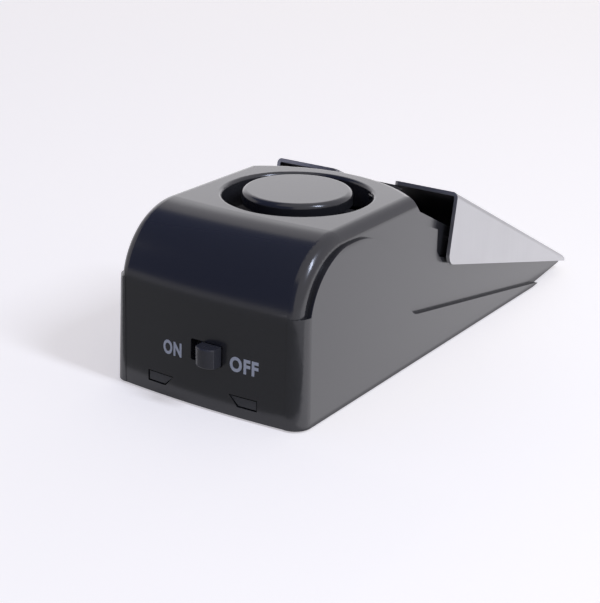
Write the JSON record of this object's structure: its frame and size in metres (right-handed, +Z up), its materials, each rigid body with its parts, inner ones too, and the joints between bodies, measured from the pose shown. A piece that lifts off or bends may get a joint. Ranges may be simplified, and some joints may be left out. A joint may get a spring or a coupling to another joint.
{
  "type": "door stop alarm",
  "caption": "Wedge-shaped door stop alarm with a hinged steel pressure plate, slide switch, siren outlet and battery door.",
  "frame": {"origin": "bottom centre of the whole part, on the surface that its grip pads rest on", "axes": "+Z up, +Y towards the thin tip, +X to the right when looking from the tall end to the tip"},
  "size_m": [0.0462, 0.1218, 0.037],
  "materials": {
    "upper_housing": "semi-gloss black ABS",
    "base_cover": "satin black ABS",
    "siren_cap": "semi-gloss black ABS",
    "switch_knob": "satin black",
    "battery_door": "satin black ABS",
    "pressure_plate": "brushed stainless",
    "hinge_pin": "turned steel",
    "trigger_plunger": "natural acetal",
    "return_spring": "spring steel wire",
    "contact_leaf": "phosphor bronze",
    "leaf_bracket": "plain",
    "contact_stud": "plain",
    "circuit_board": "green solder mask",
    "sounder_chip": "moulded epoxy",
    "step_up_coil": "ferrite and enamelled wire",
    "transistor": "moulded epoxy",
    "capacitor": "sleeved can",
    "resistors": "lacquered",
    "board_screws": "zinc plated",
    "switch_body": "moulded",
    "switch_board": "phenolic board",
    "switch_pins": "tinned",
    "switch_screws": "zinc plated",
    "siren_chamber": "moulded ABS",
    "piezo_plate": "rolled brass",
    "piezo_ceramic": "fired ceramic",
    "siren_gasket": "foam",
    "siren_retainer": "moulded ABS",
    "siren_screws": "zinc plated",
    "battery": "painted can",
    "battery_terminals": "nickel plated",
    "battery_snap": "soft vinyl",
    "battery_leads": "vinyl insulation",
    "switch_leads": "vinyl insulation",
    "siren_leads": "vinyl insulation",
    "grip_pads": "foam rubber",
    "base_screws": "zinc plated"
  },
  "bodies": {
    "housing": {"upper_housing": "upper_housing", "base_cover": "base_cover", "siren_cap": "siren_cap", "hinge_pin": "hinge_pin", "return_spring": "return_spring", "leaf_bracket": "leaf_bracket", "contact_stud": "contact_stud", "circuit_board": "circuit_board", "sounder_chip": "sounder_chip", "step_up_coil": "step_up_coil", "transistor": "transistor", "capacitor": "capacitor", "resistors": "resistors", "board_screws": "board_screws", "switch_body": "switch_body", "switch_board": "switch_board", "switch_pins": "switch_pins", "switch_screws": "switch_screws", "siren_chamber": "siren_chamber", "piezo_plate": "piezo_plate", "piezo_ceramic": "piezo_ceramic", "siren_gasket": "siren_gasket", "siren_retainer": "siren_retainer", "siren_screws": "siren_screws", "battery": "battery", "battery_terminals": "battery_terminals", "battery_snap": "battery_snap", "battery_leads": "battery_leads", "switch_leads": "switch_leads", "siren_leads": "siren_leads", "grip_pads": "grip_pads", "base_screws": "base_screws"},
    "plate": {"pressure_plate": "pressure_plate"},
    "plunger": {"trigger_plunger": "trigger_plunger"},
    "leaf": {"contact_leaf": "contact_leaf"},
    "knob": {"switch_knob": "switch_knob"},
    "door": {"battery_door": "battery_door"}
  },
  "joints": [
    {"name": "plate_hinge", "type": "hinge", "parent": "housing", "child": "plate", "pos_m": [0, 0.05085, 0.0052], "axis": [1, 0, 0], "range_deg": [0, 5.5], "stiffness_Nm_per_rad": 0.4, "springref_deg": -4.58},
    {"name": "plunger_slide", "type": "slide", "parent": "housing", "child": "plunger", "axis": [0, 0, 1], "range_m": [-0.0042, 0], "deforming": ["return_spring"]},
    {"name": "leaf_bend", "type": "hinge", "parent": "housing", "child": "leaf", "pos_m": [-0.015, 0.01485, 0.01035], "axis": [0, 1, 0], "range_deg": [0, 15.5]},
    {"name": "switch_slide", "type": "slide", "parent": "housing", "child": "knob", "axis": [-1, 0, 0], "range_m": [0, 0.0024]},
    {"name": "door_hinge", "type": "hinge", "parent": "housing", "child": "door", "pos_m": [0, 0.00925, 0.0017], "axis": [1, 0, 0], "range_deg": [0, 90]}
  ],
  "couplings": [
    {"joint": "plunger_slide", "follows": "plate_hinge", "m_per_rad": -0.04244},
    {"joint": "leaf_bend", "follows": "plate_hinge", "ratio": 2.7627}
  ]
}
